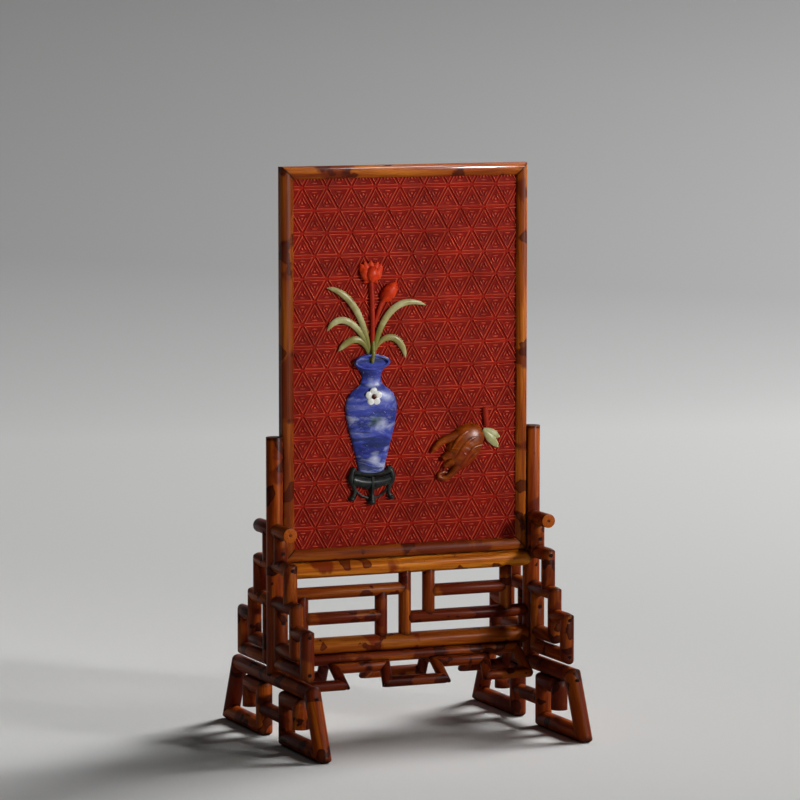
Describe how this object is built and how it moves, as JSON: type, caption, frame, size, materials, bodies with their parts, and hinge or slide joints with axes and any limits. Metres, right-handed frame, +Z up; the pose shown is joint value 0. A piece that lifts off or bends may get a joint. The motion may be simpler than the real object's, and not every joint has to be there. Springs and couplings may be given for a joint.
{
  "type": "table screen",
  "caption": "Table screen: a carved lacquer panel with stone vase and citron ornaments in a bamboo frame, standing lift-out in a stand of bamboo rods with stepped frets.",
  "frame": {"origin": "middle of the footprint, on the table", "axes": "+Z up, -Y towards the front with the ornaments, +X to the viewer's right"},
  "size_m": [0.2062, 0.1932, 0.3973],
  "materials": {
    "red_lacquer": "carved lacquer, satin",
    "frame_bamboo": "polished",
    "plain_bamboo": "plain",
    "blue_stone": "polished",
    "dark_stone": "polished",
    "white_stone": "polished",
    "brown_stone": "polished",
    "green_stone": "polished",
    "red_stone": "polished",
    "amber_stone": "polished",
    "pale_green_stone": "polished",
    "post_bamboo": "polished",
    "rail_bamboo": "polished",
    "lattice_bamboo": "polished",
    "apron_bamboo": "polished",
    "fret_bamboo": "polished",
    "foot_bamboo": "polished",
    "peg_bamboo": "plain"
  },
  "bodies": {
    "stand": {"left_post": "post_bamboo", "right_post": "post_bamboo", "upper_rail": "rail_bamboo", "lower_rail": "rail_bamboo", "lattice_upright_left": "lattice_bamboo", "lattice_upright_inner_left": "lattice_bamboo", "lattice_upright_middle": "lattice_bamboo", "lattice_upright_inner_right": "lattice_bamboo", "lattice_upright_right": "lattice_bamboo", "lattice_bar_upper_left": "lattice_bamboo", "lattice_bar_short_left": "lattice_bamboo", "lattice_bar_short_right": "lattice_bamboo", "lattice_bar_lower_right": "lattice_bamboo", "front_apron_rail": "apron_bamboo", "front_apron_fret": "apron_bamboo", "rear_apron_rail": "apron_bamboo", "rear_apron_fret": "apron_bamboo", "front_left_fret_uprights": "fret_bamboo", "front_left_fret_bars": "fret_bamboo", "front_right_fret_uprights": "fret_bamboo", "front_right_fret_bars": "fret_bamboo", "rear_left_fret_uprights": "fret_bamboo", "rear_left_fret_bars": "fret_bamboo", "rear_right_fret_uprights": "fret_bamboo", "rear_right_fret_bars": "fret_bamboo", "left_foot_beam": "foot_bamboo", "front_left_leg": "foot_bamboo", "front_left_loop": "foot_bamboo", "rear_left_leg": "foot_bamboo", "rear_left_loop": "foot_bamboo", "left_cross_rod": "foot_bamboo", "right_foot_beam": "foot_bamboo", "front_right_leg": "foot_bamboo", "front_right_loop": "foot_bamboo", "rear_right_leg": "foot_bamboo", "rear_right_loop": "foot_bamboo", "right_cross_rod": "foot_bamboo", "joint_pegs": "peg_bamboo"},
    "panel": {"lacquer_board": "red_lacquer", "frame_top": "frame_bamboo", "frame_bottom": "frame_bamboo", "frame_left": "frame_bamboo", "frame_right": "frame_bamboo", "panel_tongues": "plain_bamboo", "vase": "blue_stone", "vase_stand": "dark_stone", "vase_blossom": "white_stone", "blossom_centre": "brown_stone", "long_leaf_left": "green_stone", "middle_leaf_left": "green_stone", "short_leaf_left": "green_stone", "long_leaf_right": "green_stone", "short_leaf_right": "green_stone", "flower_stem": "red_stone", "flower_bloom": "red_stone", "bud_stem": "red_stone", "flower_bud": "red_stone", "citron_fruit": "amber_stone", "citron_stem": "red_stone", "citron_leaf": "pale_green_stone"}
  },
  "joints": [
    {"name": "panel_lift", "type": "slide", "parent": "stand", "child": "panel", "axis": [0, 0, 1], "range_m": [0, 0.092]}
  ]
}
